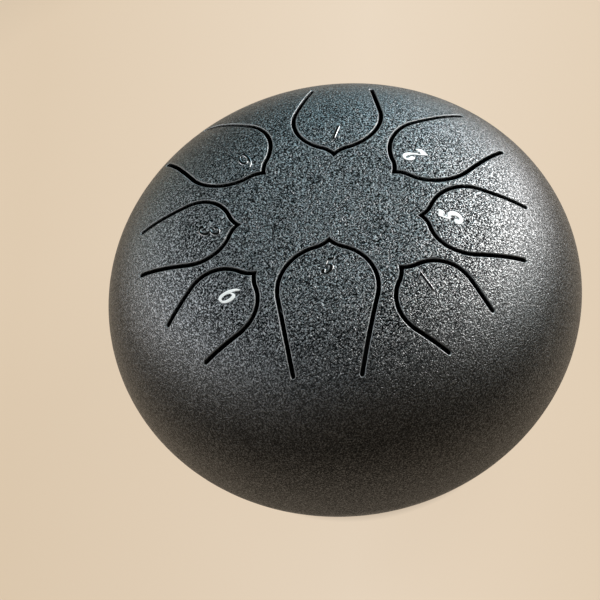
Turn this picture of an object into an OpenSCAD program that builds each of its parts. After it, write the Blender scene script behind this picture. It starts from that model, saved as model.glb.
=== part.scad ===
// Eight-note steel tongue drum: two pressed steel shells welded at the rim, eight petal
// tongues cut in the upper one, a sound hole in the lower one and four screwed rubber feet.
// Origin: centre of the ground under the feet. +Z is up, the longest tongue points to -Y.

/* [Shells] */
// Outer diameter of the drum at the rim
drum_d = 155; // [130:1:190]
// Thickness of the steel sheet
wall = 1.2; // [0.8:0.1:2]
// Radius of the arc that rises from the rim, on both shells
rim_r = 40.5; // [36:0.5:44]
// Radius of the arc between the rim and the crown of the upper shell
shoulder_r = 68.5; // [60:0.5:80]
// Angle from level at which the crown passes into the shoulder
crown_angle = 3; // [2.5:0.1:5]
// Angle from level at which the shoulder passes into the rim arc
shoulder_angle = 26.5; // [22:0.5:30]
// Radius of the arc between the rim and the flat base of the lower shell
base_r = 20; // [14:1:30]
// Angle from level at which the base arc passes into the rim arc
base_angle = 20; // [14:1:26]

/* [Rim weld] */
// Width of the weld on the outside
weld_w = 2.4; // [1.6:0.1:4]
// Width of the weld at its root, inside the sheet
weld_root_w = 0.8; // [0.4:0.1:1.4]
// Height of the bead inside the drum
weld_bead = 0.4; // [0.2:0.1:1]

/* [Tongues] */
// Width of the cut around each tongue
slot_w = 1.4; // [1:0.1:2]
// Distance that the point of a tongue stands out of its round head
point_reach = 2.2; // [1.6:0.1:2.8]
// Radius of the two hollow arcs that run into the point
point_r = 9.3; // [8:0.1:12]
// Gap across the root, where a tongue bends
root_gap = 0.05; // [0.04:0.01:0.1]

/* [Sound hole] */
// Diameter of the hole in the base
hole_d = 24; // [18:1:36]

/* [Feet] */
// Height of a foot
foot_h = 6; // [5.5:0.5:8]
// Diameter of a foot where it meets the base
foot_top_d = 16; // [14:0.5:16]
// Diameter of a foot at the ground
foot_bottom_d = 14; // [13:0.5:16]
// Radius of the rounded edge at the ground
foot_edge_r = 1; // [0.5:0.1:1.5]
// Diameter of the recess for the screw head
foot_recess_d = 9; // [8.6:0.1:10]
// Depth of the recess for the screw head
foot_recess_h = 3.6; // [3.2:0.1:4]
// Thickness of the steel washer moulded into the recess
insert_h = 0.8; // [0.6:0.1:1]

/* [Foot screws] */
// Thread diameter of the screws
screw_d = 4; // [3:0.5:4]
// Length of a screw under its head
screw_l = 10; // [10:0.5:12]
// Diameter of the pan head
head_d = 7.6; // [6.8:0.1:8]
// Height of the pan head
head_h = 2.2; // [1.8:0.1:2.4]
// Width of the arms of the cross in the head
cross_w = 0.8; // [0.6:0.1:1]
// Length of the cross, from end to end
cross_l = 4; // [3:0.2:4.6]
// Depth of the cross
cross_h = 1.3; // [1:0.1:1.5]
// Outer diameter of the flat washers
washer_d = 9; // [8:0.5:10]
// Thickness of the flat washers
washer_h = 0.8; // [0.6:0.1:1]
// Outer diameter of the spring washers
spring_d = 7.2; // [6.6:0.1:8]
// Thickness of the spring washers
spring_h = 1; // [0.8:0.1:1.2]
// Width of the split in a spring washer
spring_split = 1; // [0.6:0.1:1.4]
// Distance across the flats of the nuts
nut_af = 7; // [6.6:0.1:8]
// Height of the nuts
nut_h = 3.2; // [2.4:0.1:3.4]

/* [Clearances] */
// Room between the screw and the holes it passes
hole_clearance = 0.3; // [0.2:0.05:0.4]
// Room between the screw and the thread of its nut
thread_clearance = 0.05; // [0.02:0.01:0.1]
// How far a cutting body runs past what it cuts
overrun = 1; // [0.5:0.1:2]

/* [Hidden] */
$fn = 96;
drum_r = drum_d / 2;

// The upper profile is a crown, a shoulder and a rim arc, each tangent to the next.
crown_r = (drum_r - rim_r * (1 - sin(shoulder_angle))
  - shoulder_r * (sin(shoulder_angle) - sin(crown_angle))) / sin(crown_angle);
shoulder_x = (crown_r - shoulder_r) * sin(crown_angle);
shoulder_y = (rim_r - shoulder_r) * cos(shoulder_angle);
rim_x = drum_r - rim_r;
upper_h = rim_r * cos(shoulder_angle) + shoulder_r * (cos(crown_angle) - cos(shoulder_angle))
  + crown_r * (1 - cos(crown_angle));

// The lower profile: a flat base, the base arc and the rim arc.
base_flat_r = drum_r - rim_r * (1 - sin(base_angle)) - base_r * sin(base_angle);
base_y = (rim_r - base_r) * cos(base_angle);
lower_h = rim_r * cos(base_angle) + base_r * (1 - cos(base_angle));
rim_z = foot_h + lower_h;

// The arcs of both shells end upright at the rim.
rim_angle = 90;

// The feet stand between the sound hole and the edge of the flat base, nearer to the edge.
foot_place_share = 0.66;
foot_circle_r = hole_d / 2 + (base_flat_r - hole_d / 2) * foot_place_share;

// The tongues by note, in the order of the lists below.
LOW_5 = 0;
LOW_6 = 1;
MID_1 = 2;
MID_2 = 3;
MID_3 = 4;
MID_5 = 5;
MID_6 = 6;
HIGH_1 = 7;
// Angle of each tongue from the front, towards +X.
tongue_angles = [0, -49, 48.5, 130.5, -87.5, 89, -130.5, 179];
// In shares of the drum's radius: how far the point of each tongue lies from the axis, the
// radius of its head, how far its root lies from the axis, and half the width of the root.
point_shares = [0.117, 0.401, 0.395, 0.339, 0.381, 0.373, 0.375, 0.325];
head_shares = [0.206, 0.159, 0.164, 0.179, 0.155, 0.169, 0.182, 0.184];
root_shares = [0.710, 0.772, 0.758, 0.794, 0.799, 0.785, 0.859, 0.764];
root_half_shares = [0.139, 0.126, 0.131, 0.132, 0.109, 0.134, 0.117, 0.127];

// How far neighbouring arcs stand apart where they would touch, and the angle they overlap.
arc_step = 0.02;
arc_overlap = 6;
// How far the straight sides run on past the root before they are cut off, as a share.
past_root_share = 0.2;

// The four feet are named after their corners, and the first one is at the front left.
foot_count = 4;
first_foot_angle = 225;

// The stack on a screw, from the ground up.
insert_z = foot_recess_h - insert_h;
head_z = insert_z - head_h;
washer_z = foot_h + wall;
spring_z = washer_z + washer_h;
nut_z = spring_z + spring_h;
nut_chamfer_share = 0.12;
nut_chamfer = nut_h * nut_chamfer_share;
nut_corner_d = nut_af / cos(30);
head_crown_share = 0.9;
head_crown_r = head_d * head_crown_share;
insert_clearance = 0.1;

coat = "#33393f";
weld_grey = "#50555a";
rubber = "#1b1b1c";
zinc = "#b9bcbe";

// A slice of a disc between two angles, both measured from straight up towards +X.
module sector(radius, from, to) {
  reach = (radius + overrun) / cos((to - from) / 4);
  intersection() {
    circle(r = radius);
    polygon([
      [0, 0],
      reach * [sin(from), cos(from)],
      reach * [sin((from + to) / 2), cos((from + to) / 2)],
      reach * [sin(to), cos(to)]
    ]);
  }
}

// Half the section of a solid dome, from the rim up, shrunk by the given inset. Each larger
// arc sits one step inside the smaller one beside it, so that they cross at a clear angle.
module upper_region(inset) {
  intersection() {
    union() {
      translate([0, upper_h - crown_r])
        sector(crown_r - 2 * arc_step - inset, -arc_overlap, crown_angle);
      translate([shoulder_x, shoulder_y])
        sector(shoulder_r - arc_step - inset, crown_angle - arc_overlap, shoulder_angle);
      translate([rim_x, 0]) sector(rim_r - inset, shoulder_angle - arc_overlap, rim_angle + arc_overlap);
      square([rim_x + rim_r / 2, rim_r / 2]);
    }
    square([2 * drum_r, 2 * upper_h]);
  }
}

// The same for the lower shell, drawn with its flat base on top.
module lower_region(inset) {
  intersection() {
    union() {
      translate([rim_x, 0]) sector(rim_r - inset, base_angle, rim_angle + arc_overlap);
      translate([base_flat_r, base_y])
        sector(base_r + arc_step - inset, -arc_overlap, base_angle + arc_overlap);
      square([base_flat_r, lower_h]);
      square([rim_x + rim_r / 2, rim_r / 2]);
    }
    square([2 * drum_r, lower_h - inset]);
  }
}

// The weld fills a V between the shells and ends in a low bead inside.
module weld_profile() {
  polygon([
    [drum_r, weld_w / 2],
    [drum_r - wall, weld_root_w / 2],
    [drum_r - wall - weld_bead, weld_root_w / 4],
    [drum_r - wall - weld_bead, -weld_root_w / 4],
    [drum_r - wall, -weld_root_w / 2],
    [drum_r, -weld_w / 2]
  ]);
}

// Sizes of tongue i in its own plan: +X runs out from the drum's axis.
function point_x(i) = drum_r * point_shares[i];
function head_r(i) = drum_r * head_shares[i];
function root_x(i) = drum_r * root_shares[i];
function root_y(i) = drum_r * root_half_shares[i];
function head_x(i) = point_x(i) + point_reach + head_r(i);

// Angle at the head's centre, between the point and where a hollow arc meets the head.
function point_turn(i) =
  let (far = head_r(i) + point_r, reach = head_r(i) + point_reach)
  acos((reach * reach + far * far - point_r * point_r) / (2 * reach * far));

// Centre of the hollow arc on the +Y side.
function hollow_x(i) = head_x(i) - (head_r(i) + point_r) * cos(point_turn(i));
function hollow_y(i) = (head_r(i) + point_r) * sin(point_turn(i));

// Direction from the head's centre to where the straight side of the tongue leaves it.
function side_angle(i) =
  let (dx = root_x(i) - head_x(i), dy = root_y(i))
  atan2(dy, dx) + acos(head_r(i) / norm([dx, dy]));

// The outline of tongue i grown by the given distance: a round head, a point between two
// hollow arcs, and straight sides that run in to the root.
module petal(i, grow) {
  head = [head_x(i), 0];
  turn = point_turn(i);
  meet = (head_r(i) + grow) * [cos(turn), sin(turn)];
  out = [cos(side_angle(i)), sin(side_angle(i))];
  side = head + (head_r(i) + grow - arc_step) * out;
  root = [root_x(i), root_y(i)] + (grow - arc_step) * out;
  past = root + (root - side) * past_root_share;
  translate(head) circle(r = head_r(i) + grow);
  difference() {
    polygon([head, head + [-meet[0], meet[1]], [hollow_x(i), 0], head - meet]);
    for (y = [-hollow_y(i), hollow_y(i)])
      translate([hollow_x(i), y]) circle(r = point_r - grow + arc_step);
  }
  polygon([head, [side[0], -side[1]], [past[0], -past[1]], past, side]);
}

// What is cut out of the dome for tongue i, with a round end to each slot.
module opening_plan(i) {
  intersection() {
    petal(i, slot_w / 2);
    translate([0, -drum_r]) square([root_x(i) + root_gap, 2 * drum_r]);
  }
  for (y = [-root_y(i), root_y(i)]) translate([root_x(i), y]) circle(d = slot_w, $fn = 32);
}

module tongue_plan(i) {
  intersection() {
    petal(i, -slot_w / 2);
    translate([0, -drum_r]) square([root_x(i), 2 * drum_r]);
  }
}

// Stands a plan drawing of tongue i up through the dome.
module through_dome(i) {
  rotate([0, 0, tongue_angles[i] - 90]) translate([0, 0, rim_z])
    linear_extrude(upper_h + overrun) children();
}

module dome() {
  translate([0, 0, rim_z]) rotate_extrude() difference() {
    upper_region(0);
    upper_region(wall);
    weld_profile();
  }
}

module upper_shell() {
  color(coat) difference() {
    dome();
    for (i = [0:len(tongue_angles) - 1]) through_dome(i) opening_plan(i);
  }
}

module tongue(i) {
  color(coat) intersection() {
    dome();
    through_dome(i) tongue_plan(i);
  }
}

module rim_weld() {
  color(weld_grey) translate([0, 0, rim_z]) rotate_extrude() weld_profile();
}

// Places its children at foot k, counted round from the front left.
module at_foot(k) {
  rotate([0, 0, first_foot_angle + k * 360 / foot_count]) translate([foot_circle_r, 0, 0]) children();
}

module at_feet() {
  for (k = [0:foot_count - 1]) at_foot(k) children();
}

module lower_shell() {
  color(coat) difference() {
    translate([0, 0, rim_z]) mirror([0, 0, 1]) rotate_extrude() difference() {
      lower_region(0);
      lower_region(wall);
      weld_profile();
    }
    translate([0, 0, foot_h - overrun]) cylinder(d = hole_d, h = wall + 2 * overrun);
    at_feet() translate([0, 0, foot_h - overrun])
      cylinder(d = screw_d + hole_clearance, h = wall + 2 * overrun, $fn = 48);
  }
}

// A tapered rubber foot, rounded at the ground, with a recess for the screw head.
module foot_solid() {
  color(rubber) difference() {
    rotate_extrude() union() {
      translate([foot_bottom_d / 2 - foot_edge_r, foot_edge_r]) circle(r = foot_edge_r, $fn = 32);
      polygon([
        [0, 0],
        [foot_bottom_d / 2 - foot_edge_r, 0],
        [foot_bottom_d / 2, foot_edge_r],
        [foot_top_d / 2, foot_h],
        [0, foot_h]
      ]);
    }
    translate([0, 0, -overrun]) cylinder(d = foot_recess_d, h = foot_recess_h + overrun);
    cylinder(d = screw_d + hole_clearance, h = foot_h + overrun, $fn = 48);
  }
}

module foot(k) {
  at_foot(k) foot_solid();
}

module ring(outer, inner, height) {
  difference() {
    cylinder(d = outer, h = height, $fn = 64);
    translate([0, 0, -overrun]) cylinder(d = inner, h = height + 2 * overrun, $fn = 64);
  }
}

module foot_insert_washers() {
  color(zinc) at_feet() translate([0, 0, insert_z])
    ring(foot_recess_d - insert_clearance, screw_d + hole_clearance, insert_h);
}

// A pan head with a domed face towards the ground and a cross cut in it.
module foot_screws() {
  color(zinc) at_feet() {
    difference() {
      translate([0, 0, head_z]) intersection() {
        cylinder(d = head_d, h = head_h, $fn = 64);
        translate([0, 0, head_crown_r]) sphere(r = head_crown_r, $fn = 128);
      }
      for (turn = [0, 90]) rotate([0, 0, turn])
        translate([-cross_l / 2, -cross_w / 2, head_z - overrun])
          cube([cross_l, cross_w, cross_h + overrun]);
    }
    translate([0, 0, insert_z]) cylinder(d = screw_d, h = screw_l, $fn = 64);
  }
}

module flat_washers() {
  color(zinc) at_feet() translate([0, 0, washer_z])
    ring(washer_d, screw_d + hole_clearance, washer_h);
}

module spring_washers() {
  color(zinc) at_feet() translate([0, 0, spring_z]) difference() {
    ring(spring_d, screw_d + hole_clearance, spring_h);
    translate([0, -spring_split / 2, -overrun])
      cube([spring_d, spring_split, spring_h + 2 * overrun]);
  }
}

// A hexagon nut with its corners turned down at both faces.
module hex_nuts() {
  color(zinc) at_feet() translate([0, 0, nut_z]) difference() {
    intersection() {
      cylinder(d = nut_corner_d, h = nut_h, $fn = 6);
      rotate_extrude($fn = 64) polygon([
        [0, 0],
        [nut_af / 2, 0],
        [nut_corner_d / 2, nut_chamfer],
        [nut_corner_d / 2, nut_h - nut_chamfer],
        [nut_af / 2, nut_h],
        [0, nut_h]
      ]);
    }
    translate([0, 0, -overrun])
      cylinder(d = screw_d + thread_clearance, h = nut_h + 2 * overrun, $fn = 64);
  }
}

upper_shell();
tongue(LOW_5);  // tongue_low_5
tongue(LOW_6);  // tongue_low_6
tongue(MID_1);  // tongue_mid_1
tongue(MID_2);  // tongue_mid_2
tongue(MID_3);  // tongue_mid_3
tongue(MID_5);  // tongue_mid_5
tongue(MID_6);  // tongue_mid_6
tongue(HIGH_1);  // tongue_high_1
rim_weld();
lower_shell();
foot(0);  // foot_front_left
foot(1);  // foot_front_right
foot(2);  // foot_rear_right
foot(3);  // foot_rear_left
foot_insert_washers();
foot_screws();
flat_washers();
spring_washers();
hex_nuts();
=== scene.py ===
# The dressed steel tongue drum: coated sheet steel with rounded slot edges and numbered tongues, rubber
# feet and plated screws, on a floor that glows warm and pale, a painted light.
import math

import bpy
import numpy as np
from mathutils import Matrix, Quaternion, Vector
from mathutils.geometry import delaunay_2d_cdt


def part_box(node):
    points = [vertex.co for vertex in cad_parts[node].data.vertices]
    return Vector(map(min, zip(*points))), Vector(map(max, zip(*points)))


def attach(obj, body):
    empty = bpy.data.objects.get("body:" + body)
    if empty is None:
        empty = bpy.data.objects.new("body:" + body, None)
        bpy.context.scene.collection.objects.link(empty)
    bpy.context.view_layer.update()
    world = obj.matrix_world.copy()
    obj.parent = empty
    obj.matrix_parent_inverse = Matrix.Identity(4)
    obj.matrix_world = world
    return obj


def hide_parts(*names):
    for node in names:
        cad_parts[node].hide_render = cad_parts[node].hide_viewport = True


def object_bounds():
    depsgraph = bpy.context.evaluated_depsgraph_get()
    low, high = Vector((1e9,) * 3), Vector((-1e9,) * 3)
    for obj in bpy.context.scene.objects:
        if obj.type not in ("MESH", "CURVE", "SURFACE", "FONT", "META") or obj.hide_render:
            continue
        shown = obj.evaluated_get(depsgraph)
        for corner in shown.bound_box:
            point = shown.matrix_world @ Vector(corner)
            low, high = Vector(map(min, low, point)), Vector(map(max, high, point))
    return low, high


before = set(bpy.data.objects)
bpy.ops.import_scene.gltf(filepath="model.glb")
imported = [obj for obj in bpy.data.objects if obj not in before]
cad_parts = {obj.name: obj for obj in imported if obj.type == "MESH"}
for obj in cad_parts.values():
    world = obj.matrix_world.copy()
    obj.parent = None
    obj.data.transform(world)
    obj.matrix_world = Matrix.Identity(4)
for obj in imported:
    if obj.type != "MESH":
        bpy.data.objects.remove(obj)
cad_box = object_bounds()
MM = 0.001
DRUM_BODY = "drum_body"

# The sheet and the arcs of its section, as in the solids.
DRUM_R = cad_box[1].x
TOP_Z = cad_box[1].z
WALL = 1.2 * MM
RIM_R = 40.5 * MM
SHOULDER_R = 68.5 * MM
CROWN_ANGLE = math.radians(3)
SHOULDER_ANGLE = math.radians(26.5)
BASE_R = 20 * MM
BASE_ANGLE = math.radians(20)
BASE_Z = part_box("lower_shell")[0].z
RIM_X = DRUM_R - RIM_R
CROWN_R = (
    DRUM_R
    - RIM_R * (1 - math.sin(SHOULDER_ANGLE))
    - SHOULDER_R * (math.sin(SHOULDER_ANGLE) - math.sin(CROWN_ANGLE))
) / math.sin(CROWN_ANGLE)
SHOULDER_X = (CROWN_R - SHOULDER_R) * math.sin(CROWN_ANGLE)
SHOULDER_Y = (RIM_R - SHOULDER_R) * math.cos(SHOULDER_ANGLE)
CROWN_Y = SHOULDER_Y + (SHOULDER_R - CROWN_R) * math.cos(CROWN_ANGLE)
BASE_FLAT_R = RIM_X + (RIM_R - BASE_R) * math.sin(BASE_ANGLE)
BASE_Y = (RIM_R - BASE_R) * math.cos(BASE_ANGLE)
RIM_Z = BASE_Z + BASE_Y + BASE_R
WELD_W = 2.4 * MM
WELD_ROOT_W = 0.8 * MM
WELD_BEAD = 0.4 * MM
WELD_TURN = math.acos(WELD_W / 2 / RIM_R)
ROOT_TURN = math.acos(WELD_ROOT_W / 2 / (RIM_R - WALL))
HOLE_R = 12 * MM
SCREW_HOLE_R = 2.15 * MM
FEET = ["foot_rear_right", "foot_rear_left", "foot_front_left", "foot_front_right"]

# The bead inside the weld, from its upper edge to its lower one: how far it stands back in
# shares of its height, its level in shares of its width, and the way it faces (out, up).
BEAD_SHARES = [
    (1, 1 / 2, (-0.6, 0.8)),
    (1 / 4, 1 / 3, (-0.8, 0.6)),
    (0, 0, (-1, 0)),
    (1 / 4, -1 / 3, (-0.8, -0.6)),
    (1, -1 / 2, (-0.6, -0.8)),
]

# The tongues, each with its angle from the front towards +X and its number. Then, in shares
# of the drum's radius: how far its point lies from the axis, the radius of its head, how
# far its root lies from the axis, and half the width of the root.
TONGUES = {
    "tongue_low_5": (0, "5", 0.117, 0.206, 0.710, 0.139),
    "tongue_low_6": (-49, "6", 0.401, 0.159, 0.772, 0.126),
    "tongue_mid_1": (48.5, "1", 0.395, 0.164, 0.758, 0.131),
    "tongue_mid_2": (130.5, "2", 0.339, 0.179, 0.794, 0.132),
    "tongue_mid_3": (-87.5, "3", 0.381, 0.155, 0.799, 0.109),
    "tongue_mid_5": (89, "5", 0.373, 0.169, 0.785, 0.134),
    "tongue_mid_6": (-130.5, "6", 0.375, 0.182, 0.859, 0.117),
    "tongue_high_1": (179, "1", 0.325, 0.184, 0.764, 0.127),
}
SLOT_W = 1.4 * MM
POINT_REACH = 2.2 * MM
POINT_R = 9.3 * MM
ROOT_GAP = 0.05 * MM
ROOT_SEAM = 0.01 * MM

# How finely the sheet is meshed.
FILL_STEP = 1.5 * MM
BASE_FILL_STEP = 3 * MM
FILL_CLEAR_SHARE = 0.55
FILL_BATCH = 500
JOIN_WITHIN_MM = 1e-7
EDGE_STEP = 0.6 * MM
SIDE_STEP = 2 * EDGE_STEP
EDGE_R = 0.35 * MM
EDGE_TURNS = [0, 30, 60, 90]
ROOT_STEPS = 12
TONGUE_ROOT_STEPS = 2
POINT_STEPS = 12
BASE_STEPS = 8
HOLE_STEPS = 128
SCREW_HOLE_STEPS = 32
CUT_R = 71 * MM
AROUND = 256
ANGLES = np.arange(AROUND) * 2 * math.pi / AROUND
ARC_STEP = math.radians(3)

# The numbers stand out from the sheet with sloping sides. Some are white all over, and the
# others are matt black with glossy sides. For each: how far out from the tongue's point its
# middle lies, how far aside from the tongue's middle line, and its height, in millimetres.
NUMBER_PLACES = {
    "tongue_low_5": (10.0, -0.1, 6.6),
    "tongue_low_6": (10.3, 0.1, 7.0),
    "tongue_mid_1": (8.8, 1.6, 7.4),
    "tongue_mid_2": (9.3, 1.3, 6.9),
    "tongue_mid_3": (9.3, 0.6, 7.2),
    "tongue_mid_5": (9.1, 0.1, 7.8),
    "tongue_mid_6": (8.6, -0.6, 6.7),
    "tongue_high_1": (8.9, -0.1, 6.6),
}
WHITE = ["tongue_low_6", "tongue_mid_2", "tongue_mid_5"]
NUMBER_SLANT = math.radians(13)
NUMBER_STEP = 0.12 * MM
WHITE_RISE = 0.08 * MM
BLACK_RISE = 0.12 * MM
# The sides' width, and how far up a face counts as a side, in shares of the rise.
SIDE_W = 0.14 * MM
SIDE_SHARE = 0.9

# Outlines of the numbers in shares of their height, upright, before the slant. Each line is
# a start and then straight pieces, (x, y), or curves, (handle, handle, end).
ONE = [
    [(0.23, 0.0), (0.39, 0.0), (0.39, 1.0), (0.31, 1.0), ((0.26, 0.90), (0.17, 0.84), (0.03, 0.82)),
     (0.02, 0.74), ((0.10, 0.73), (0.17, 0.75), (0.23, 0.79)), (0.23, 0.0)],
]
TWO = [
    [(0.04, 0.72), ((0.04, 0.63), (0.10, 0.57), (0.18, 0.58)), ((0.27, 0.59), (0.30, 0.69), (0.26, 0.77)),
     ((0.24, 0.83), (0.25, 0.89), (0.31, 0.89)), ((0.37, 0.89), (0.40, 0.84), (0.40, 0.76)),
     ((0.40, 0.62), (0.32, 0.48), (0.21, 0.34)), ((0.12, 0.22), (0.05, 0.12), (0.01, 0.0)),
     (0.13, 0.0), ((0.20, 0.05), (0.28, -0.01), (0.40, -0.01)), ((0.52, -0.01), (0.58, 0.07), (0.59, 0.23)),
     (0.54, 0.23), ((0.51, 0.18), (0.46, 0.17), (0.40, 0.18)), ((0.32, 0.19), (0.26, 0.23), (0.19, 0.21)),
     ((0.28, 0.33), (0.60, 0.50), (0.60, 0.76)), ((0.60, 0.91), (0.47, 1.0), (0.31, 1.0)),
     ((0.15, 1.0), (0.04, 0.88), (0.04, 0.72))],
]
THREE = [
    [(0.06, 0.80), ((0.06, 0.73), (0.11, 0.69), (0.17, 0.70)), ((0.24, 0.71), (0.26, 0.78), (0.24, 0.83)),
     ((0.23, 0.88), (0.26, 0.90), (0.30, 0.90)), ((0.36, 0.90), (0.39, 0.85), (0.39, 0.77)),
     ((0.39, 0.66), (0.33, 0.59), (0.22, 0.57)), (0.22, 0.49), ((0.34, 0.48), (0.40, 0.41), (0.40, 0.29)),
     ((0.40, 0.18), (0.35, 0.11), (0.28, 0.11)), ((0.24, 0.11), (0.22, 0.13), (0.22, 0.17)),
     ((0.22, 0.24), (0.16, 0.29), (0.10, 0.28)), ((0.03, 0.27), (0.0, 0.21), (0.01, 0.15)),
     ((0.03, 0.05), (0.12, 0.0), (0.25, 0.0)), ((0.45, 0.0), (0.59, 0.12), (0.59, 0.30)),
     ((0.59, 0.42), (0.52, 0.51), (0.40, 0.54)), ((0.51, 0.58), (0.57, 0.67), (0.57, 0.78)),
     ((0.57, 0.92), (0.47, 1.0), (0.31, 1.0)), ((0.17, 1.0), (0.06, 0.92), (0.06, 0.80))],
]
FIVE = [
    [(0.16, 0.98), (0.13, 0.48), ((0.18, 0.50), (0.22, 0.51), (0.27, 0.51)),
     ((0.35, 0.51), (0.39, 0.44), (0.39, 0.33)), ((0.39, 0.20), (0.34, 0.12), (0.27, 0.13)),
     ((0.24, 0.13), (0.24, 0.16), (0.25, 0.20)), ((0.26, 0.30), (0.20, 0.36), (0.13, 0.35)),
     ((0.06, 0.34), (0.01, 0.28), (0.02, 0.20)), ((0.03, 0.07), (0.13, 0.0), (0.26, 0.0)),
     ((0.46, 0.0), (0.60, 0.13), (0.60, 0.33)), ((0.60, 0.51), (0.49, 0.62), (0.33, 0.62)),
     ((0.28, 0.62), (0.25, 0.61), (0.22, 0.59)), (0.23, 0.78), (0.46, 0.78),
     ((0.50, 0.83), (0.52, 0.90), (0.52, 1.0)), ((0.47, 0.98), (0.43, 0.98), (0.38, 0.98)), (0.16, 0.98)],
]
SIX = [
    [(0.38, 0.91), (0.38, 1.0), ((0.16, 0.93), (0.02, 0.67), (0.02, 0.36)),
     ((0.02, 0.13), (0.13, 0.0), (0.31, 0.0)),
     ((0.50, 0.0), (0.62, 0.15), (0.62, 0.37)), ((0.62, 0.57), (0.53, 0.68), (0.40, 0.68)),
     ((0.34, 0.68), (0.29, 0.66), (0.25, 0.62)), ((0.27, 0.74), (0.31, 0.84), (0.38, 0.91))],
    [(0.19, 0.40), ((0.21, 0.51), (0.26, 0.58), (0.33, 0.58)), ((0.41, 0.58), (0.44, 0.48), (0.44, 0.36)),
     ((0.44, 0.20), (0.39, 0.11), (0.32, 0.11)), ((0.22, 0.11), (0.17, 0.23), (0.19, 0.40))],
]
NUMBERS = {"1": ONE, "2": TWO, "3": THREE, "5": FIVE, "6": SIX}
NUMBER_MID_X_SHARE = 0.3

# The camera, as the photograph was taken: from above the front and a little to the right.
CAMERA_AT = (108.4 * MM, -623.1 * MM, 927.0 * MM)
CAMERA_AIM = (-14.57 * MM, -1.0 * MM, 45.26 * MM)
CAMERA_ROLL = math.radians(-11.25)
CAMERA_LENS = 199.05
SENSOR_W = 36
CAMERA_CLIP = (50 * MM, 50000 * MM)


def from_front(degrees):
    """An angle from the front in degrees, as an angle from +X in radians."""
    return math.radians(degrees - 90)


def turned(angle):
    """The direction at that angle in the plan, in radians from +X."""
    return np.array([math.cos(angle), math.sin(angle)])


def dome_skin(plan):
    """Points on the outside of the dome over places in the plan, and the normals there."""
    plan = np.asarray(plan, float).reshape(-1, 2)
    r = np.hypot(plan[:, 0], plan[:, 1])
    crown = r < CROWN_R * math.sin(CROWN_ANGLE)
    shoulder = ~crown & (r < SHOULDER_X + SHOULDER_R * math.sin(SHOULDER_ANGLE))
    centre_x = np.where(crown, 0, np.where(shoulder, SHOULDER_X, RIM_X))
    centre_y = np.where(crown, CROWN_Y, np.where(shoulder, SHOULDER_Y, 0))
    radius = np.where(crown, CROWN_R, np.where(shoulder, SHOULDER_R, RIM_R))
    slope = np.clip((r - centre_x) / radius, -1, 1)
    rise = np.sqrt(1 - slope**2)
    out = plan / np.maximum(r, 1e-9)[:, None]
    normals = np.column_stack([out * slope[:, None], rise])
    return np.column_stack([plan, RIM_Z + centre_y + radius * rise]), normals


def flat_skin(plan):
    """The same for the flat base, seen from below."""
    plan = np.asarray(plan, float).reshape(-1, 2)
    count = len(plan)
    normals = np.tile((0.0, 0.0, -1.0), (count, 1))
    return np.column_stack([plan, np.full(count, BASE_Z)]), normals


# The mesh attribute that carries the painted highlight on the rounded edges.
EDGE_HIGHLIGHT_MARK = "painted_edge_highlight"


class Sheet:
    """Collects the vertices, smooth normals and faces of one piece."""

    def __init__(self):
        self.points = []
        self.normals = []
        self.edges = []
        self.faces = []
        self.flat = {}
        self.paint = {}

    def add(self, points, normals, edge=0.0):
        """Adds vertices and gives their numbers. edge says how much of the painted highlight on a rounded
        edge they take.
        """
        first = len(self.points)
        self.points.extend(np.asarray(points, float).reshape(-1, 3))
        self.normals.extend(np.asarray(normals, float).reshape(-1, 3))
        self.edges.extend([edge] * (len(self.points) - first))
        return np.arange(first, len(self.points))

    def face(self, corners, flat=None, paint=0):
        """Adds a face; flat is a normal that all its corners take instead of their own."""
        if flat is not None:
            self.flat[len(self.faces)] = flat
        if paint:
            self.paint[len(self.faces)] = paint
        self.faces.append([int(c) for c in corners])

    def strip(self, low, high, closed=True, flat=None, paint=0):
        """Joins two rows of vertices with four-sided faces."""
        count = len(low)
        for i in range(count if closed else count - 1):
            j = (i + 1) % count
            self.face((low[i], low[j], high[j], high[i]), flat, paint)

    def wind(self):
        """Turns each face so that its corners run the way that its normals face."""
        points = np.array(self.points)
        normals = np.array(self.normals)
        for i, face in enumerate(self.faces):
            corners = points[face] - points[face[0]]
            made = np.cross(corners, np.roll(corners, -1, 0)).sum(0)
            if made @ (self.flat[i] if i in self.flat else normals[face].sum(0)) < 0:
                face.reverse()

    def build(self, name, materials):
        self.wind()
        mesh = bpy.data.meshes.new(name)
        mesh.from_pydata([tuple(p) for p in self.points], [], self.faces)
        loops = []
        for i, face in enumerate(self.faces):
            loops.extend([self.flat[i]] * len(face) if i in self.flat else [self.normals[c] for c in face])
        mesh.polygons.foreach_set("use_smooth", [True] * len(self.faces))
        for i, paint in self.paint.items():
            mesh.polygons[i].material_index = paint
        mesh.normals_split_custom_set([tuple(n) for n in loops])
        mesh.attributes.new(EDGE_HIGHLIGHT_MARK, "FLOAT", "POINT").data.foreach_set("value", self.edges)
        for material in materials:
            mesh.materials.append(material)
        obj = bpy.data.objects.new(name, mesh)
        bpy.context.scene.collection.objects.link(obj)
        return obj


def inside(points, loops):
    """Which of the points lie inside an odd number of the closed loops."""
    x, y = points[:, 0], points[:, 1]
    odd = np.zeros(len(points), bool)
    for loop in loops:
        a = np.asarray(loop)
        b = np.roll(a, -1, 0)
        for (ax, ay), (bx, by) in zip(a, b):
            if ay == by:
                continue
            crosses = (ay > y) != (by > y)
            odd ^= crosses & (x < ax + (y - ay) * (bx - ax) / (by - ay))
    return odd


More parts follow.
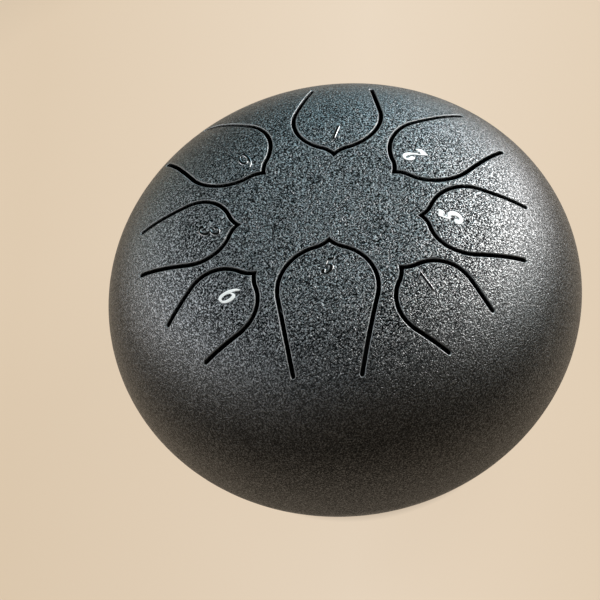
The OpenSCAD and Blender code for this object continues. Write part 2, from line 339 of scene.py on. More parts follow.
def fill_points(loops, step):
    """A grid of equal triangles inside the loops that keeps off their edges."""
    edge = np.vstack(loops)
    low, high = edge.min(0), edge.max(0)
    row = step * math.sqrt(3) / 2
    grid = []
    for j in range(int((high[1] - low[1]) / row) + 1):
        start = low[0] + (j % 2) * step / 2
        xs = np.arange(start, high[0], step)
        grid.append(np.column_stack([xs, np.full(len(xs), low[1] + j * row)]))
    grid = np.vstack(grid)
    grid = grid[inside(grid, loops)]
    keep = np.ones(len(grid), bool)
    for k in range(0, len(grid), FILL_BATCH):
        part = grid[k : k + FILL_BATCH]
        near = np.min(np.hypot(*(part[:, None] - edge[None]).transpose(2, 0, 1)), 1)
        keep[k : k + FILL_BATCH] = near > step * FILL_CLEAR_SHARE
    return grid[keep]


def triangles(loops, step=None):
    """Meshes the plan inside the loops. Gives the added points and triangles of numbers that
    count first through the loops, one after the other, and then through the added points."""
    flat = np.vstack(loops)
    added = fill_points(loops, step) if step else np.zeros((0, 2))
    places = np.vstack([flat, added]) / MM
    edges = []
    first = 0
    for loop in loops:
        count = len(loop)
        edges += [(first + i, first + (i + 1) % count) for i in range(count)]
        first += count
    made = delaunay_2d_cdt([Vector(p) for p in places], edges, [], 0, JOIN_WITHIN_MM)
    source = [origins[0] if origins else 0 for origins in made[3]]
    corners = np.array([[source[c] for c in face] for face in made[2]])
    middles = places[corners].mean(1) * MM
    return added, corners[inside(middles, loops)]


def edge_profile(radius):
    """How an edge is rounded over both faces of the sheet, as (set back, depth, tilt)."""
    rows = []
    for turn in EDGE_TURNS:
        a = math.radians(turn)
        rows.append((radius * (1 - math.sin(a)), radius * (1 - math.cos(a)), a))
    return rows + [(back, WALL - depth, math.pi - a) for back, depth, a in reversed(rows)]


def edge_ring(sheet, skin, places, towards, depth, tilt):
    """Adds one row of vertices along an edge, at that depth under the skin. towards is the
    direction in the plan that leads off the sheet, and tilt turns the normal that way."""
    points, normals = skin(places)
    side = np.column_stack([towards, np.zeros(len(towards))])
    side -= normals * np.sum(side * normals, 1)[:, None]
    side /= np.linalg.norm(side, axis=1)[:, None]
    # The outer half of each rounded edge takes the painted highlight, strongest halfway round.
    edge = math.sin(2 * tilt) if tilt < math.pi / 2 else 0.0
    return sheet.add(points - normals * depth, normals * math.cos(tilt) + side * math.sin(tilt), edge)


def arc_places(centre, radius, start, end, count):
    """Points and directions along an arc, both ends included."""
    angles = np.linspace(start, end, count + 1)
    ways = np.column_stack([np.cos(angles), np.sin(angles)])
    return np.asarray(centre) + radius * ways, ways


class Petal:
    """The outline of one tongue in its own plan, where +X runs out from the drum's axis."""

    def __init__(self, point_share, head_share, root_share, half_share):
        self.point_x = DRUM_R * point_share
        self.head_r = DRUM_R * head_share
        self.root = np.array([DRUM_R * root_share, DRUM_R * half_share])
        self.head = np.array([self.point_x + POINT_REACH + self.head_r, 0.0])
        far = self.head_r + POINT_R
        reach = self.head_r + POINT_REACH
        self.turn = math.acos((reach**2 + far**2 - POINT_R**2) / (2 * reach * far))
        self.hollow = self.head + far * np.array([-math.cos(self.turn), math.sin(self.turn)])
        dx, dy = self.root - self.head
        self.side = math.atan2(dy, dx) + math.acos(self.head_r / math.hypot(dx, dy))

    def half(self, set_off, grown):
        """Places and off-sheet directions from the root round to the point, on the +Y side.
        grown is 1 for the sheet around the slot and -1 for the tongue inside it."""
        root_turn = -math.pi / 2
        root_end = self.side if grown > 0 else self.side - math.pi
        out = turned(self.side)
        rows = []
        steps = ROOT_STEPS if grown > 0 else TONGUE_ROOT_STEPS
        places, ways = arc_places(self.root, set_off, root_turn, root_end, steps)
        rows.append((places, -ways))
        start = self.root + grown * set_off * out
        end = self.head + (self.head_r + grown * set_off) * out
        count = int(np.linalg.norm(self.head + self.head_r * out - self.root) / SIDE_STEP)
        shares = np.linspace(0, 1, count + 1)[1:, None]
        rows.append((start + (end - start) * shares, np.tile(-grown * out, (count, 1))))
        end_turn = math.pi - self.turn
        count = int((end_turn - self.side) * self.head_r / EDGE_STEP)
        places, ways = arc_places(self.head, self.head_r + grown * set_off, self.side, end_turn, count)
        rows.append((places[1:], -grown * ways[1:]))
        radius = POINT_R - grown * set_off
        stop = -math.asin(self.hollow[1] / radius)
        places, ways = arc_places(self.hollow, radius, -self.turn, stop, POINT_STEPS)
        rows.append((places[1:], grown * ways[1:]))
        return [np.vstack(part) for part in zip(*rows)]

    def loop(self, set_off, grown):
        """The whole way round from the root's one end to the other, by the point."""
        places, ways = self.half(set_off, grown)
        ways[-1] = (grown, 0.0)
        flip = np.array([1.0, -1.0])
        return np.vstack([places, places[-2::-1] * flip]), np.vstack([ways, ways[-2::-1] * flip])

    def root_line(self, set_off, back=0.0):
        """Places across the root between the two ends, the ends left out."""
        half = self.root[1] - set_off
        count = int(2 * half / EDGE_STEP)
        ys = np.linspace(-half, half, count + 1)[1:-1]
        return np.column_stack([np.full(len(ys), self.root[0] - back), ys])


def spun(places, angle):
    """Turns places from a tongue's own plan into the drum's."""
    c, s = turned(angle)
    return np.asarray(places) @ np.array([[c, s], [-s, c]])


def circle(radius, count, centre=(0.0, 0.0)):
    angles = np.arange(count) * 2 * math.pi / count
    return np.asarray(centre) + radius * np.column_stack([np.cos(angles), np.sin(angles)])


def root_wall(sheet, rings, line_top, line_bottom, normal):
    """Closes the cut across a root: the rounded ends and the straight middle."""
    tops = [rings[0][-1], *line_top, rings[0][0]]
    bottoms = [rings[-1][-1], *line_bottom, rings[-1][0]]
    sheet.strip(tops, bottoms, closed=False, flat=normal)
    sheet.face([ring[-1] for ring in rings], flat=normal)
    sheet.face([ring[0] for ring in rings], flat=normal)


def add_opening(sheet, petal, angle, skin):
    """The rounded edge round one tongue's opening. Gives the loops of its top and bottom
    rings, as places in the plan and as vertex numbers."""
    profile = edge_profile(EDGE_R)
    rings = []
    for back, depth, tilt in profile:
        places, ways = petal.loop(SLOT_W / 2 + back, 1)
        rings.append(edge_ring(sheet, skin, spun(places, angle), spun(ways, angle), depth, tilt))
    join_rings(sheet, rings, closed=False)
    line = spun(petal.root_line(SLOT_W / 2 + EDGE_R), angle)
    line_points, line_normals = skin(line)
    line_top = sheet.add(line_points, line_normals)
    line_bottom = sheet.add(line_points - line_normals * WALL, -line_normals)
    top_places, _ = petal.loop(SLOT_W / 2 + EDGE_R, 1)
    inward = np.append(-turned(angle), 0)
    root_wall(sheet, rings, line_top, line_bottom, inward)
    loop = np.vstack([spun(top_places, angle), line])
    return loop, np.append(rings[0], line_top), np.append(rings[-1], line_bottom)


def add_skins(sheet, loops, tops, bottoms, skin, step):
    """Fills the outer and inner faces of the sheet between loops of vertices."""
    added, corners = triangles(loops, step)
    points, normals = skin(added)
    top = np.concatenate([*tops, sheet.add(points, normals)])
    bottom = np.concatenate([*bottoms, sheet.add(points - normals * WALL, -normals)])
    for tri in corners:
        sheet.face(top[tri])
        sheet.face(bottom[tri])


def lathe_ring(sheet, radius, height, normal):
    """A level ring of vertices; normal is (outwards, upwards)."""
    cos, sin = np.cos(ANGLES), np.sin(ANGLES)
    points = np.column_stack([radius * cos, radius * sin, np.full(AROUND, height)])
    normals = np.column_stack([normal[0] * cos, normal[0] * sin, np.full(AROUND, normal[1])])
    return sheet.add(points, normals)


def rim_rings(sheet, start, end, up):
    """Rings down the rim arc from one angle to another, outside and inside."""
    count = max(1, int(math.ceil(abs(end - start) / ARC_STEP)))
    outer, inner = [], []
    for a in np.linspace(start, end, count + 1):
        s, c = math.sin(a), math.cos(a)
        outer.append(lathe_ring(sheet, RIM_X + RIM_R * s, RIM_Z + up * RIM_R * c, (s, up * c)))
        r = RIM_R - WALL
        inner.append(lathe_ring(sheet, RIM_X + r * s, RIM_Z + up * r * c, (-s, -up * c)))
    return outer, inner


def join_rings(sheet, rings, closed=True):
    """Joins rings of vertices that follow one another."""
    for one, other in zip(rings, rings[1:]):
        sheet.strip(one, other, closed)


def upper_shell(materials):
    """The dome above the weld, with an opening for each tongue."""
    sheet = Sheet()
    cut = circle(CUT_R, AROUND)
    points, normals = dome_skin(cut)
    cut_top = sheet.add(points, normals)
    cut_bottom = sheet.add(points - normals * WALL, -normals)
    loops, tops, bottoms = [cut], [cut_top], [cut_bottom]
    for angle, _, *shares in TONGUES.values():
        loop, top, bottom = add_opening(sheet, Petal(*shares), from_front(angle), dome_skin)
        loops.append(loop)
        tops.append(top)
        bottoms.append(bottom)
    add_skins(sheet, loops, tops, bottoms, dome_skin, FILL_STEP)
    start = math.asin((CUT_R - RIM_X) / RIM_R)
    outer, _ = rim_rings(sheet, start, WELD_TURN, 1)
    _, inner = rim_rings(sheet, start, ROOT_TURN, 1)
    outer[0], inner[0] = cut_top, cut_bottom
    join_rings(sheet, outer)
    join_rings(sheet, inner)
    sheet.strip(inner[-1], outer[-1])
    return sheet.build("upper_shell_coated", materials)


def rim_weld(materials):
    """The ground weld follows the rim outside, and stands as a low bead inside."""
    sheet = Sheet()
    outer, _ = rim_rings(sheet, WELD_TURN, math.pi - WELD_TURN, 1)
    bead_r = DRUM_R - WALL - WELD_BEAD
    inner = []
    for back, level, normal in BEAD_SHARES:
        inner.append(lathe_ring(sheet, bead_r + WELD_BEAD * back, RIM_Z + WELD_ROOT_W * level, normal))
    join_rings(sheet, outer)
    join_rings(sheet, inner)
    sheet.strip(outer[0], inner[0])
    sheet.strip(inner[-1], outer[-1])
    return sheet.build("rim_weld_ground", materials)


def round_hole(sheet, radius, centre, count):
    """The rounded edge of a round hole in the flat base."""
    rings = []
    ways = -circle(1, count)
    for back, depth, tilt in edge_profile(EDGE_R):
        rings.append(edge_ring(sheet, flat_skin, circle(radius + back, count, centre), ways, depth, tilt))
    join_rings(sheet, rings)
    return circle(radius + EDGE_R, count, centre), rings[0], rings[-1]


def lower_shell(materials):
    """The bowl below the weld, with its flat base, the sound hole and the screw holes."""
    sheet = Sheet()
    outer, _ = rim_rings(sheet, WELD_TURN, BASE_ANGLE, -1)
    _, inner = rim_rings(sheet, ROOT_TURN, BASE_ANGLE, -1)
    turn_z = RIM_Z - BASE_Y
    for a in np.linspace(BASE_ANGLE, 0, BASE_STEPS + 1)[1:]:
        s, c = math.sin(a), math.cos(a)
        outer.append(lathe_ring(sheet, BASE_FLAT_R + BASE_R * s, turn_z - BASE_R * c, (s, -c)))
        r = BASE_R - WALL
        inner.append(lathe_ring(sheet, BASE_FLAT_R + r * s, turn_z - r * c, (-s, c)))
    join_rings(sheet, outer)
    join_rings(sheet, inner)
    sheet.strip(outer[0], inner[0])
    loops, tops, bottoms = [circle(BASE_FLAT_R, AROUND)], [outer[-1]], [inner[-1]]
    holes = [(HOLE_R, (0.0, 0.0), HOLE_STEPS)]
    for foot in FEET:
        low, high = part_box(foot)
        holes.append((SCREW_HOLE_R, ((low.x + high.x) / 2, (low.y + high.y) / 2), SCREW_HOLE_STEPS))
    for radius, centre, count in holes:
        loop, top, bottom = round_hole(sheet, radius, centre, count)
        loops.append(loop)
        tops.append(top)
        bottoms.append(bottom)
    add_skins(sheet, loops, tops, bottoms, flat_skin, BASE_FILL_STEP)
    return sheet.build("lower_shell_coated", materials)


def bezier(start, handle_a, handle_b, end, count):
    """Points along a curve, its start left out."""
    t = np.linspace(0, 1, count + 1)[1:, None]
    start, handle_a, handle_b, end = (np.asarray(p) for p in (start, handle_a, handle_b, end))
    return (
        start * (1 - t) ** 3
        + handle_a * 3 * t * (1 - t) ** 2
        + handle_b * 3 * t**2 * (1 - t)
        + end * t**3
    )


def number_loops(number, height):
    """The outlines of a number in the plan of a tongue, its top towards the point."""
    loops = []
    for line in NUMBERS[number]:
        here = np.asarray(line[0])
        places = []
        for piece in line[1:]:
            curved = isinstance(piece[0], tuple)
            end = np.asarray(piece[-1] if curved else piece)
            handles = piece[:2] if curved else (here + (end - here) / 3, end - (end - here) / 3)
            turns = [here, *handles, end]
            length = sum(np.linalg.norm(np.subtract(b, a)) for a, b in zip(turns, turns[1:])) * height
            places.append(bezier(here, *handles, end, max(1, int(length / NUMBER_STEP))))
            here = end
        shape = np.vstack(places)
        x = shape[:, 0] - NUMBER_MID_X_SHARE + (shape[:, 1] - 0.5) * math.tan(NUMBER_SLANT)
        loops.append(np.column_stack([(0.5 - shape[:, 1]) * height, x * height]))
    return loops


def edge_distance(places, loops):
    """How far each place lies from the nearest side of the closed loops."""
    near = np.full(len(places), np.inf)
    for loop in loops:
        for a, b in zip(loop, np.roll(loop, -1, 0)):
            side = b - a
            share = np.clip((places - a) @ side / (side @ side), 0, 1)
            near = np.minimum(near, np.linalg.norm(places - a - share[:, None] * side, axis=1))
    return near


def add_number(sheet, name, petal, angle):
    """Raises a number on the outside of a tongue, with sloping sides and never above the top
    of the dome. Gives the loops of its outline and the sheet's vertices along them."""
    out, aside, height = (value * MM for value in NUMBER_PLACES[name])
    at = np.array([petal.point_x + out, aside])
    loops = [spun(loop + at, angle) for loop in number_loops(TONGUES[name][1], height)]
    added, corners = triangles(loops, NUMBER_STEP)
    places = np.vstack([*loops, added])
    points, normals = dome_skin(places)
    share = np.minimum(edge_distance(places, loops) / SIDE_W, 1)
    points += normals * (share * (WHITE_RISE if name in WHITE else BLACK_RISE))[:, None]
    points[:, 2] = np.minimum(points[:, 2], TOP_Z)
    smooth = np.zeros_like(points)
    for tri in corners:
        a, b, c = points[tri]
        way = np.cross(b - a, c - a)
        smooth[tri] += way * np.sign(way[2])
    rows = sheet.add(points, smooth / np.linalg.norm(smooth, axis=1)[:, None])
    for tri in corners:
        sheet.face(rows[tri], paint=1 if share[tri].mean() < SIDE_SHARE else 2)
    return loops, [sheet.add(*dome_skin(loop)) for loop in loops]


def tongue(name, coat, sides, face):
    """A tongue with its rounded edge and its number, a hair short of the shell at the root."""
    degrees, _, *shares = TONGUES[name]
    angle = from_front(degrees)
    petal = Petal(*shares)
    sheet = Sheet()
    rings = []
    for back, depth, tilt in edge_profile(EDGE_R):
        places, ways = petal.loop(SLOT_W / 2 + back, -1)
        short = ROOT_SEAM + (ROOT_GAP - ROOT_SEAM) * depth / WALL
        places[[0, -1], 0] -= short
        rings.append(edge_ring(sheet, dome_skin, spun(places, angle), spun(ways, angle), depth, tilt))
    join_rings(sheet, rings, closed=False)
    line = spun(petal.root_line(SLOT_W / 2 + EDGE_R, ROOT_SEAM), angle)
    points, normals = dome_skin(line)
    line_top = sheet.add(points, normals)
    low_points, _ = dome_skin(spun(petal.root_line(SLOT_W / 2 + EDGE_R, ROOT_GAP), angle))
    line_bottom = sheet.add(low_points - normals * WALL, -normals)
    outward = np.append(turned(angle), 0)
    root_wall(sheet, rings, line_top, line_bottom, outward)
    edge, _ = petal.loop(SLOT_W / 2 + EDGE_R, -1)
    edge[[0, -1], 0] -= ROOT_SEAM
    loop = np.vstack([spun(edge, angle), line])
    number_edges, number_rows = add_number(sheet, name, petal, angle)
    added, corners = triangles([loop, *number_edges], FILL_STEP)
    points, normals = dome_skin(added)
    top = np.concatenate([rings[0], line_top, *number_rows, sheet.add(points, normals)])
    for tri in corners:
        sheet.face(top[tri])
    added, corners = triangles([loop], FILL_STEP)
    points, normals = dome_skin(added)
    bottom = np.concatenate([rings[-1], line_bottom, sheet.add(points - normals * WALL, -normals)])
    for tri in corners:
        sheet.face(bottom[tri])
    return sheet.build(f"{name}_coated", [coat, sides, face])


# The colour sockets of a mix node, which follow those for numbers and vectors.
MIX_COLOURS_IN = slice(6, 8)
MIX_COLOUR_OUT = 2


class Nodes:
    """Short ways to add and link the nodes of one material."""

    def __init__(self, name):
        self.material = bpy.data.materials.new(name)
        self.material.use_nodes = True
        self.tree = self.material.node_tree
        self.shader = self.tree.nodes["Principled BSDF"]
        self.place = self.add("ShaderNodeTexCoord").outputs["Object"]

    def add(self, kind, **values):
        node = self.tree.nodes.new(kind)
        for key, value in values.items():
            setattr(node, key, value)
        return node

    def link(self, output, target):
        self.tree.links.new(output, target)

    def put(self, values, sockets):
        """Sets sockets to numbers or colours, or links them to other nodes."""
        for socket, value in zip(sockets, values):
            if isinstance(value, (int, float)):
                socket.default_value = value
            elif isinstance(value, tuple):
                socket.default_value = (*value, 1)
            else:
                self.link(value, socket)

    def shade(self, **values):
        """Sets the shader's own sockets, each by its name, and gives the material."""
        for name, value in values.items():
            self.put([value], [self.shader.inputs[name.replace("_", " ")]])
        return self.material

    def noise(self, scale, detail=2.0, roughness=0.5, twist=0.0, vector=None):
        node = self.add("ShaderNodeTexNoise")
        node.inputs["Scale"].default_value = scale
        node.inputs["Detail"].default_value = detail
        node.inputs["Roughness"].default_value = roughness
        node.inputs["Distortion"].default_value = twist
        self.link(vector or self.place, node.inputs["Vector"])
        return node.outputs["Fac"]

    def ramp(self, value, stops):
        """Maps a value to a colour or a shade through (place, shade) stops."""
        node = self.add("ShaderNodeValToRGB")
        points = node.color_ramp.elements
        while len(points) < len(stops):
            points.new(0.5)
        for point, (at, shade) in zip(points, stops):
            point.position = at
            colour = (shade, shade, shade) if isinstance(shade, (int, float)) else shade
            point.color = (*colour, 1)
        self.link(value, node.inputs["Fac"])
        return node.outputs["Color"]

    def axis(self, name):
        """The place along X, Y or Z."""
        split = self.add("ShaderNodeSeparateXYZ")
        self.link(self.place, split.inputs["Vector"])
        return split.outputs[name]

    def reach(self):
        """The distance from the drum's axis."""
        flat = self.add("ShaderNodeVectorMath", operation="MULTIPLY")
        flat.inputs[1].default_value = (1, 1, 0)
        self.link(self.place, flat.inputs[0])
        length = self.add("ShaderNodeVectorMath", operation="LENGTH")
        self.link(flat.outputs["Vector"], length.inputs[0])
        return length.outputs["Value"]

    def fade(self, value, start, end, top=1.0):
        """Rises from 0 to top while the value goes from start to end."""
        node = self.add("ShaderNodeMapRange")
        node.inputs["From Min"].default_value = start
        node.inputs["From Max"].default_value = end
        node.inputs["To Max"].default_value = top
        self.link(value, node.inputs["Value"])
        return node.outputs["Result"]

    def mark(self, name):
        """The value of a named attribute of the mesh."""
        return self.add("ShaderNodeAttribute", attribute_name=name).outputs["Fac"]

    def mix(self, factor, a, b):
        """Blends two colours or shades, each a value or a socket."""
        node = self.add("ShaderNodeMix", data_type="RGBA")
        self.link(factor, node.inputs["Factor"])
        self.put([a, b], node.inputs[MIX_COLOURS_IN])
        return node.outputs[MIX_COLOUR_OUT]

    def math(self, operation, *values):
        node = self.add("ShaderNodeMath", operation=operation)
        self.put(values, node.inputs)
        return node.outputs[0]

    def bump(self, height, depth, strength=1.0):
        """Tilts the surface as if the height, from 0 to 1, were relief of that depth."""
        node = self.add("ShaderNodeBump")
        node.inputs["Strength"].default_value = strength
        node.inputs["Distance"].default_value = depth
        self.link(height, node.inputs["Height"])
        return node.outputs["Normal"]


# The crinkle of the coat, two sets of ridges that cross: how many ridges to a metre, how much
# longer than wide they are, how far each set is turned, how high they stand and how much they
# wander. The last two spread what is left where they cross over the whole range again.
CRINKLE_SCALE = 2700
CRINKLE_STRETCH = 1.9
CRINKLE_TURNS = (math.radians(35), math.radians(-45))
CRINKLE_HEIGHT = 0.2 * MM
CRINKLE_TWIST = 0.4
CROSSED_SPREAD = 1.21
CROSSED_SHIFT = 0.023

# The coat's colour, roughness and shine by the height in the crinkle, and on the rounded edges. The colour
# and shine darken into the cracks as painted shade, and the rounded edges are painted lighter and shinier
# as a painted highlight. The crown has the stronger contrast, and the flank shines less towards the base, a
# painted shade on its reflections.
COAT_IOR = 2.2
# Darker towards the cracks of the crinkle: painted shade.
COAT_COLOURS = [
    (0.38, (0.0006, 0.001, 0.0013)),
    (0.55, (0.005, 0.0065, 0.0075)),
    (0.72, (0.028, 0.034, 0.037)),
]
COAT_ROUGHNESS = [(0.3, 0.48), (0.7, 0.36)]
CROWN_SHINE = [(0.40, 0.01), (0.52, 0.26), (0.70, 1.1)]
RIM_SHINE = [(0.34, 0.16), (0.52, 0.36), (0.72, 0.8)]
CROWN_GRAIN_R = 46 * MM
RIM_GRAIN_R = 66 * MM
# The flank's shine by height drops towards the base: painted shade on its reflections.
FLANK_SHINE = [(0.0, 0.08), (0.34, 0.36), (0.74, 0.36), (1.0, 1.0)]
FLANK_LOW = -12 * MM
FLANK_HIGH = 32 * MM
# A lighter colour and more shine on the rounded edges: a painted highlight.
EDGE_HIGHLIGHT_COLOUR = (0.10, 0.11, 0.115)
EDGE_HIGHLIGHT_SHINE = (0.6, 0.6, 0.6)


def coat_material():
    """Blue-black powder coat that has crinkled into ridges under a millimetre long. The light catches the
    ridges, and the cracks between them are painted darker in colour and shine, a painted shade. The rounded
    edges are painted lighter and shinier, a painted highlight."""
    n = Nodes("crinkle_coat")
    ridges = []
    for turn in CRINKLE_TURNS:
        stretch = n.add("ShaderNodeMapping", vector_type="TEXTURE")
        # The turn serves as a shift too, so that the two sets take different parts of the noise.
        stretch.inputs["Location"].default_value = (turn, 0, 0)
        stretch.inputs["Rotation"].default_value = (0, 0, turn)
        stretch.inputs["Scale"].default_value = (1, CRINKLE_STRETCH, 1)
        n.link(n.place, stretch.inputs["Vector"])
        turned_place = stretch.outputs["Vector"]
        ridges.append(n.noise(CRINKLE_SCALE, detail=0.0, twist=CRINKLE_TWIST, vector=turned_place))
    crossed = n.math("MULTIPLY", n.math("MINIMUM", *ridges), CROSSED_SPREAD)
    crinkle = n.math("SUBTRACT", crossed, CROSSED_SHIFT)
    # The rounded edges are painted lighter and shinier: a painted highlight.
    edge = n.mark(EDGE_HIGHLIGHT_MARK)
    aside = n.fade(n.reach(), CROWN_GRAIN_R, RIM_GRAIN_R)
    # The shine darkens into the cracks of the crinkle: painted shade.
    shine = n.mix(aside, n.ramp(crinkle, CROWN_SHINE), n.ramp(crinkle, RIM_SHINE))
    # The shine drops towards the base: painted shade that dims the flank's reflections.
    up = n.fade(n.axis("Z"), RIM_Z + FLANK_LOW, RIM_Z + FLANK_HIGH)
    shine = n.math("MULTIPLY", n.mix(edge, shine, EDGE_HIGHLIGHT_SHINE), n.ramp(up, FLANK_SHINE))
    return n.shade(
        Base_Color=n.mix(edge, n.ramp(crinkle, COAT_COLOURS), EDGE_HIGHLIGHT_COLOUR),
        Roughness=n.ramp(crinkle, COAT_ROUGHNESS),
        Specular_IOR_Level=shine,
        IOR=COAT_IOR,
        Normal=n.bump(crinkle, CRINKLE_HEIGHT),
    )


WHITE_COLOURS = [(0.3, (0.80, 0.80, 0.79)), (0.6, (0.90, 0.90, 0.89))]
WHITE_ROUGHNESS = [(0.3, 0.5), (0.7, 0.35)]
# A faint glow on the white paint: painted light.
WHITE_PAINTED_GLOW = 0.05
PAINT_BUMP = 0.2


def enamel_material():
    """Bright white number paint, slightly uneven over the crinkled sheet. It glows faintly, a painted light
    that keeps it white.
    """
    n = Nodes("number_paint")
    lumps = n.noise(CRINKLE_SCALE)
    white = n.ramp(lumps, WHITE_COLOURS)
    return n.shade(
        Base_Color=white,
        Emission_Color=white,
        Emission_Strength=WHITE_PAINTED_GLOW,
        Roughness=n.ramp(lumps, WHITE_ROUGHNESS),
        Normal=n.bump(lumps, CRINKLE_HEIGHT, PAINT_BUMP),
    )


GLOSS_COLOURS = [(0.3, (0.006, 0.007, 0.008)), (0.7, (0.014, 0.015, 0.016))]
GLOSS_ROUGHNESS = [(0.3, 0.34), (0.7, 0.26)]
GLOSS_BUMP = 0.1


def gloss_material():
    """The coat on the sides of the raised numbers, where it is stretched smooth and glossy."""
    n = Nodes("number_sides")
    lumps = n.noise(CRINKLE_SCALE)
    return n.shade(
        Base_Color=n.ramp(lumps, GLOSS_COLOURS),
        Roughness=n.ramp(lumps, GLOSS_ROUGHNESS),
        Specular_IOR_Level=1.0,
        IOR=COAT_IOR,
        Normal=n.bump(lumps, CRINKLE_HEIGHT, GLOSS_BUMP),
    )


BLACK_FACE_COLOURS = [(0.3, (0.0008, 0.001, 0.001)), (0.7, (0.004, 0.004, 0.004))]
BLACK_FACE_ROUGHNESS = [(0.3, 0.8), (0.7, 0.6)]
BLACK_FACE_SHINE = 0.05


def black_material():
    """Matt black on the face of the raised numbers."""
    n = Nodes("number_black_face")
    lumps = n.noise(CRINKLE_SCALE, detail=3.0)
    return n.shade(
        Base_Color=n.ramp(lumps, BLACK_FACE_COLOURS),
        Roughness=n.ramp(lumps, BLACK_FACE_ROUGHNESS),
        Specular_IOR_Level=BLACK_FACE_SHINE,
        Normal=n.bump(lumps, CRINKLE_HEIGHT, PAINT_BUMP),
    )


RUBBER_COLOURS = [(0.3, (0.010, 0.010, 0.011)), (0.75, (0.022, 0.022, 0.022))]
RUBBER_ROUGHNESS = [(0.3, 0.72), (0.7, 0.58)]
RUBBER_CLOUDS = 220
RUBBER_SKIN = 3500
RUBBER_SKIN_HEIGHT = 0.05 * MM
RUBBER_BUMP = 0.5


def rubber_material():
    """Moulded black rubber with a fine matt skin."""
    n = Nodes("foot_rubber")
    skin = n.noise(RUBBER_SKIN, detail=3.0, roughness=0.6)
    clouds = n.noise(RUBBER_CLOUDS)
    return n.shade(
        Base_Color=n.ramp(clouds, RUBBER_COLOURS),
        Roughness=n.ramp(clouds, RUBBER_ROUGHNESS),
        Normal=n.bump(skin, RUBBER_SKIN_HEIGHT, RUBBER_BUMP),
    )


ZINC_COLOURS = [(0.3, (0.52, 0.54, 0.56)), (0.7, (0.70, 0.71, 0.71))]
ZINC_ROUGHNESS = [(0.3, 0.42), (0.7, 0.26)]
ZINC_PATCHES = 400
ZINC_MARKS = 6000
ZINC_MARK_DEPTH = 0.01 * MM
ZINC_BUMP = 0.4


def zinc_material():
    """Bright zinc plate with faint turning marks and dull patches."""
    n = Nodes("zinc_plate")
    patches = n.noise(ZINC_PATCHES, detail=3.0)
    marks = n.noise(ZINC_MARKS, detail=1.0)
    return n.shade(
        Base_Color=n.ramp(patches, ZINC_COLOURS),
        Roughness=n.ramp(patches, ZINC_ROUGHNESS),
        Metallic=1.0,
        Normal=n.bump(marks, ZINC_MARK_DEPTH, ZINC_BUMP),
    )


# The floor glows, all but under the drum, so that the drum throws no shadow. The glow is a
# little weaker to the left and right, and it fades far from the drum.
# The colours of the floor's glow, a painted light; the floor itself is near-black.
FLOOR_GLOW_COLOUR = (0.765, 0.635, 0.49)
FLOOR_SIDE_GLOW_COLOUR = (0.69, 0.55, 0.395)
FLOOR_MATT_COLOUR = (0.02, 0.016, 0.012)
FLOOR_ROUGHNESS = 0.9
FLOOR_SIDE = 120 * MM
GLOW_FROM = 48 * MM
GLOW_FULL = 59 * MM
FADE_FROM = 200 * MM
FADE_FULL = 480 * MM
FAR_SHARE = 0.2
FLOOR_R = 1600 * MM
WALL_TURN_R = 500 * MM
WALL_STEPS = 12
WALL_TOP = 2200 * MM


def floor_material():
    """A near-black matt floor with a warm pale glow, a painted light that stays off under the drum."""
    n = Nodes("glowing_pale_floor")
    aside = n.math("DIVIDE", n.math("ABSOLUTE", n.axis("X")), FLOOR_SIDE)
    reach = n.reach()
    near = n.fade(reach, GLOW_FROM, GLOW_FULL)
    far = n.math("SUBTRACT", 1.0, n.fade(reach, FADE_FROM, FADE_FULL, 1 - FAR_SHARE))
    return n.shade(
        Base_Color=FLOOR_MATT_COLOUR,
        Emission_Color=n.ramp(aside, [(0.0, FLOOR_GLOW_COLOUR), (1.0, FLOOR_SIDE_GLOW_COLOUR)]),
        Emission_Strength=n.math("MULTIPLY", near, far),
        Roughness=FLOOR_ROUGHNESS,
    )


def dress():
    """Makes the sheet-steel pieces, and gives the feet and fasteners their finish."""
    coat = coat_material()
    white = enamel_material()
    gloss = gloss_material()
    black = black_material()
    for build, node, slot in (
        (upper_shell, "upper_shell", "coated_steel"),
        (rim_weld, "rim_weld", "weld"),
        (lower_shell, "lower_shell", "coated_steel"),
    ):
        piece = build([coat])
        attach(piece, DRUM_BODY)
        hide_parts(node)
    for name in TONGUES:
        piece = tongue(name, coat, *((white, white) if name in WHITE else (gloss, black)))
        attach(piece, name)
        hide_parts(name)
    rubber = rubber_material()
    zinc = zinc_material()
    for name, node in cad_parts.items():
        if name in FEET:
            finish, slot = rubber, "rubber"
        elif not node.hide_render:
            finish, slot = zinc, "zinc_steel"
        else:
            continue
        node.data.materials.clear()
        node.data.materials.append(finish)


def floor():
    """A wide round floor that turns up into a wall, out of the camera's sight."""
    sheet = Sheet()
    middle = sheet.add([(0, 0, 0)], [(0, 0, 1)])
    rings = [lathe_ring(sheet, FLOOR_R, 0, (0, 1))]
    for turn in np.linspace(0, math.pi / 2, WALL_STEPS + 1)[1:]:
        s, c = math.sin(turn), math.cos(turn)
        rings.append(lathe_ring(sheet, FLOOR_R + WALL_TURN_R * s, WALL_TURN_R * (1 - c), (-s, c)))
    rings.append(lathe_ring(sheet, FLOOR_R + WALL_TURN_R, WALL_TOP, (-1, 0)))
    join_rings(sheet, rings)
    for one, other in zip(rings[0], np.roll(rings[0], -1)):
        sheet.face((middle[0], one, other))
    sheet.build("floor", [floor_material()])


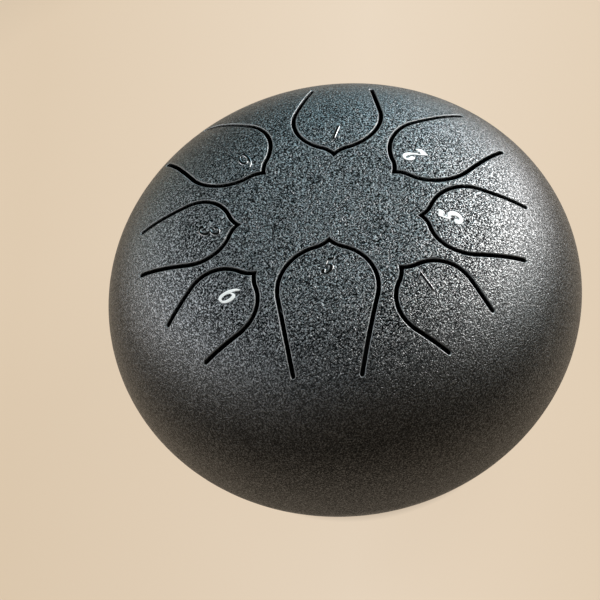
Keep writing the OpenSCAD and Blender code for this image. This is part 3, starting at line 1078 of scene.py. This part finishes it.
# The soft lights: name, direction from the drum in degrees round from +X, height in degrees,
# size, radiance and colour.
LIGHT_FAR = 1050 * MM
LOW_BOX = (560 * MM, 380 * MM)
HIGH_BOX = (600 * MM, 450 * MM)
TOP_BOX = (500 * MM, 500 * MM)
LIGHTS = [
    ("right_low", 50, 9, LOW_BOX, 9.6, (1.0, 0.98, 1.0)),
    ("right_high", 40, 34, HIGH_BOX, 15, (1.0, 0.99, 0.96)),
    ("far_right_low", 20, 9, LOW_BOX, 2.7, (0.84, 1.02, 1.07)),
    ("back_low", 80, 9, LOW_BOX, 1.4, (0.3, 0.86, 1.15)),
    ("back_high", 80, 34, HIGH_BOX, 2.6, (0.5, 0.96, 1.13)),
    ("back_left_low", 140, 9, LOW_BOX, 0.8, (0.6, 1.05, 1.0)),
    ("left_low", 170, 9, LOW_BOX, 3.5, (1.02, 1.0, 0.98)),
    ("left_high", 160, 34, HIGH_BOX, 3.4, (0.93, 0.98, 1.08)),
    ("far_left_high", 200, 34, HIGH_BOX, 1.4, (0.97, 1.0, 1.0)),
    ("top_left", 170, 60, TOP_BOX, 1.9, (0.85, 1.02, 1.1)),
]
FILL_COLOUR = (1.0, 0.95, 0.88, 1)
FILL = 0.02


def soft_light(name, azimuth, height, size, radiance, colour):
    """A soft light that faces the drum and doesn't show in the picture."""
    a, h = math.radians(azimuth), math.radians(height)
    way = Vector((math.cos(a) * math.cos(h), math.sin(a) * math.cos(h), math.sin(h)))
    data = bpy.data.lights.new(name, "AREA")
    data.shape = "RECTANGLE"
    data.size, data.size_y = size
    data.energy = radiance * math.pi * size[0] * size[1]
    data.color = colour
    obj = bpy.data.objects.new(name, data)
    obj.location = Vector((0, 0, RIM_Z)) + way * LIGHT_FAR
    obj.rotation_mode = "QUATERNION"
    obj.rotation_quaternion = way.to_track_quat("Z", "Y")
    obj.visible_camera = False
    bpy.context.scene.collection.objects.link(obj)


def lights():
    """The soft lights, and a faint fill from all round."""
    for values in LIGHTS:
        soft_light(*values)
    world = bpy.data.worlds.new("studio")
    world.use_nodes = True
    background = world.node_tree.nodes["Background"]
    background.inputs["Color"].default_value = FILL_COLOUR
    background.inputs["Strength"].default_value = FILL
    bpy.context.scene.world = world


def camera():
    """The camera at the photograph's place."""
    data = bpy.data.cameras.new("camera")
    data.lens = CAMERA_LENS
    data.sensor_width = SENSOR_W
    data.clip_start, data.clip_end = CAMERA_CLIP
    obj = bpy.data.objects.new("camera", data)
    obj.location = CAMERA_AT
    sight = Vector(CAMERA_AIM) - Vector(CAMERA_AT)
    obj.rotation_mode = "QUATERNION"
    obj.rotation_quaternion = sight.to_track_quat("-Z", "Y") @ Quaternion((0, 0, 1), CAMERA_ROLL)
    bpy.context.scene.collection.objects.link(obj)
    bpy.context.scene.camera = obj


dress()
floor()
lights()
camera()
bpy.context.scene.view_settings.view_transform = "Standard"
